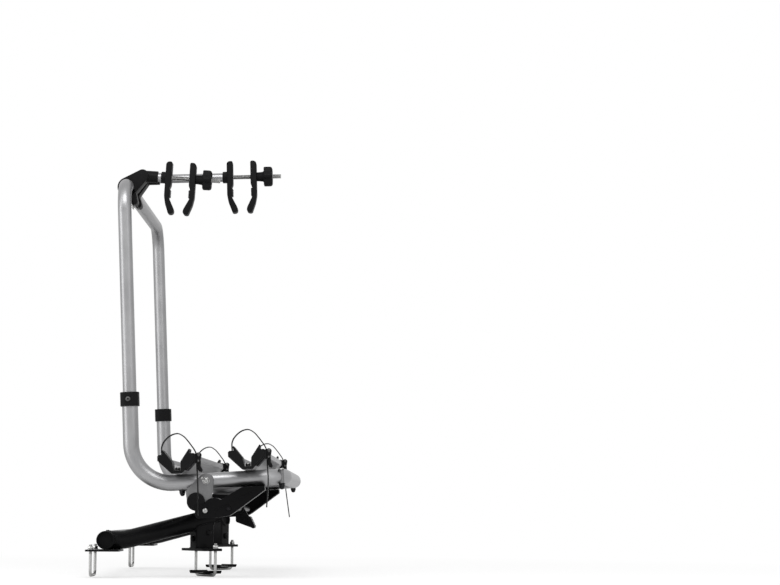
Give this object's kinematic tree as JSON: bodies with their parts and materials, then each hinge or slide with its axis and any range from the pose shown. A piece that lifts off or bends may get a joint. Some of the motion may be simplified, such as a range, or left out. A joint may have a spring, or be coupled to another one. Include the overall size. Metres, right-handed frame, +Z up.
{
  "type": "bike carrier",
  "caption": "Drawbar-mounted bike carrier: clamped black base, tilting silver frame with hoop, V-shaped wheel rails with strapped wheel supports, and two holder arms with clamping jaws.",
  "frame": {"origin": "on the carrier's centre line, on the plane of the drawbar's top faces, straight under the tilt axis", "axes": "+X forward towards the towing vehicle, +Y to the carrier's left along its tilt axis, +Z up"},
  "size_m": [0.4439, 1.13, 0.9457],
  "materials": {
    "satin_aluminium": "satin silver anodised",
    "black_steel": "black powder coat, slightly textured",
    "zinc_steel": "bright zinc plated",
    "black_plastic": "matt black moulded",
    "strap_rubber": "black flexible strap"
  },
  "bodies": {
    "base": {"catch_plate": "black_steel", "cross_tube_cap_left": "black_plastic", "cross_tube_cap_right": "black_plastic", "diagonal_tube_left": "black_steel", "diagonal_tube_right": "black_steel", "front_clamp_plate_left": "black_steel", "front_clamp_plate_right": "black_steel", "front_post_left": "black_steel", "front_post_right": "black_steel", "front_u_bolt_left": "zinc_steel", "front_u_bolt_right": "zinc_steel", "hinge_cross_tube": "black_steel", "rear_cross_tube": "black_steel", "rear_saddle_left": "black_steel", "rear_saddle_right": "black_steel", "rear_u_bolt_left": "zinc_steel", "rear_u_bolt_right": "zinc_steel"},
    "platform": {"frame_collar_left": "black_plastic", "frame_collar_right": "black_plastic", "front_bolt_left": "zinc_steel", "front_bolt_right": "zinc_steel", "hinge_plate_left": "satin_aluminium", "hinge_plate_right": "satin_aluminium", "latch_shaft": "zinc_steel", "latch_spring": "zinc_steel", "lower_frame_tube": "satin_aluminium", "lower_hinge_bolt_left": "zinc_steel", "lower_hinge_bolt_right": "zinc_steel", "rail_bolt_front_left": "zinc_steel", "rail_bolt_front_right": "zinc_steel", "rail_bolt_rear_left": "zinc_steel", "rail_bolt_rear_right": "zinc_steel", "support_arm_left": "black_steel", "support_arm_right": "black_steel", "upper_hoop": "satin_aluminium", "wheel_rail_front": "satin_aluminium", "wheel_rail_rear": "satin_aluminium"},
    "pedal": {"foot_pedal": "black_steel"},
    "support_rear_right": {"wheel_support_rear_right": "black_plastic", "wheel_strap_rear_right": "strap_rubber"},
    "lever_rear_right": {"ratchet_lever_rear_right": "black_plastic"},
    "support_rear_left": {"wheel_support_rear_left": "black_plastic", "wheel_strap_rear_left": "strap_rubber"},
    "lever_rear_left": {"ratchet_lever_rear_left": "black_plastic"},
    "support_front_right": {"wheel_support_front_right": "black_plastic", "wheel_strap_front_right": "strap_rubber"},
    "lever_front_right": {"ratchet_lever_front_right": "black_plastic"},
    "support_front_left": {"wheel_support_front_left": "black_plastic", "wheel_strap_front_left": "strap_rubber"},
    "lever_front_left": {"ratchet_lever_front_left": "black_plastic"},
    "arm_short": {"arm_clamp_short": "black_plastic", "arm_tube_short": "satin_aluminium"},
    "jaw_short": {"fixed_jaw_short": "black_plastic"},
    "moving_short": {"moving_jaw_short": "black_plastic"},
    "knob_short": {"jaw_knob_short": "black_plastic"},
    "arm_long": {"arm_clamp_long": "black_plastic", "arm_tube_long": "satin_aluminium"},
    "jaw_long": {"fixed_jaw_long": "black_plastic"},
    "moving_long": {"moving_jaw_long": "black_plastic"},
    "knob_long": {"jaw_knob_long": "black_plastic"}
  },
  "joints": [
    {"name": "platform_tilt", "type": "hinge", "parent": "base", "child": "platform", "pos_m": [0, 0, 0.10917], "axis": [0, 1, 0], "range_deg": [0, 40]},
    {"name": "pedal_press", "type": "hinge", "parent": "platform", "child": "pedal", "pos_m": [0.07202, 0, 0.09435], "axis": [0, 1, 0], "range_deg": [0, 28], "stiffness_Nm_per_rad": 2, "springref_deg": -17.19},
    {"name": "support_slide_rear_right", "type": "slide", "parent": "platform", "child": "support_rear_right", "axis": [0, 1, 0], "range_m": [0, 0.05]},
    {"name": "lever_rear_right_lift", "type": "hinge", "parent": "support_rear_right", "child": "lever_rear_right", "pos_m": [0.01047, -0.535, 0.20937], "axis": [0, -1, 0], "range_deg": [0, 75], "stiffness_Nm_per_rad": 0.05},
    {"name": "support_slide_rear_left", "type": "slide", "parent": "platform", "child": "support_rear_left", "axis": [0, -1, 0], "range_m": [0, 0.05]},
    {"name": "lever_rear_left_lift", "type": "hinge", "parent": "support_rear_left", "child": "lever_rear_left", "pos_m": [0.01047, 0.535, 0.20937], "axis": [0, -1, 0], "range_deg": [0, 75], "stiffness_Nm_per_rad": 0.05},
    {"name": "support_slide_front_right", "type": "slide", "parent": "platform", "child": "support_front_right", "axis": [0, 1, 0], "range_m": [0, 0.05]},
    {"name": "lever_front_right_lift", "type": "hinge", "parent": "support_front_right", "child": "lever_front_right", "pos_m": [0.16164, -0.535, 0.21928], "axis": [0, -1, 0], "range_deg": [0, 75], "stiffness_Nm_per_rad": 0.05},
    {"name": "support_slide_front_left", "type": "slide", "parent": "platform", "child": "support_front_left", "axis": [0, -1, 0], "range_m": [0, 0.05]},
    {"name": "lever_front_left_lift", "type": "hinge", "parent": "support_front_left", "child": "lever_front_left", "pos_m": [0.16164, 0.535, 0.21928], "axis": [0, -1, 0], "range_deg": [0, 75], "stiffness_Nm_per_rad": 0.05},
    {"name": "arm_swing_short", "type": "hinge", "parent": "platform", "child": "arm_short", "pos_m": [-0.17086, -0.34, 0.81451], "axis": [0, 1, 0], "range_deg": [-60, 45]},
    {"name": "jaw_swivel_short", "type": "hinge", "parent": "arm_short", "child": "jaw_short", "pos_m": [-0.07239, -0.34, 0.83805], "axis": [0.9984, 0, -0.0558], "range_deg": [-60, 60]},
    {"name": "jaw_slide_short", "type": "slide", "parent": "jaw_short", "child": "moving_short", "axis": [0.9984, 0, -0.0558], "range_m": [-0.015, 0.009]},
    {"name": "knob_turn_short", "type": "hinge", "parent": "moving_short", "child": "knob_short", "pos_m": [-0.02247, -0.34, 0.83526], "axis": [0.9984, 0, -0.0558], "range_deg": [-901, 541]},
    {"name": "arm_swing_long", "type": "hinge", "parent": "platform", "child": "arm_long", "pos_m": [-0.17086, -0.27, 0.81451], "axis": [0, 1, 0], "range_deg": [-60, 45]},
    {"name": "jaw_swivel_long", "type": "hinge", "parent": "arm_long", "child": "jaw_long", "pos_m": [0.06212, -0.27, 0.85084], "axis": [0.9995, 0, 0.0314], "range_deg": [-60, 60]},
    {"name": "jaw_slide_long", "type": "slide", "parent": "jaw_long", "child": "moving_long", "axis": [0.9995, 0, 0.0314], "range_m": [-0.015, 0.009]},
    {"name": "knob_turn_long", "type": "hinge", "parent": "moving_long", "child": "knob_long", "pos_m": [0.11209, -0.27, 0.85241], "axis": [0.9995, 0, 0.0314], "range_deg": [-901, 541]}
  ],
  "couplings": [
    {"joint": "knob_turn_short", "follows": "jaw_slide_short", "rad_per_m": 1047.2},
    {"joint": "knob_turn_long", "follows": "jaw_slide_long", "rad_per_m": 1047.2}
  ]
}
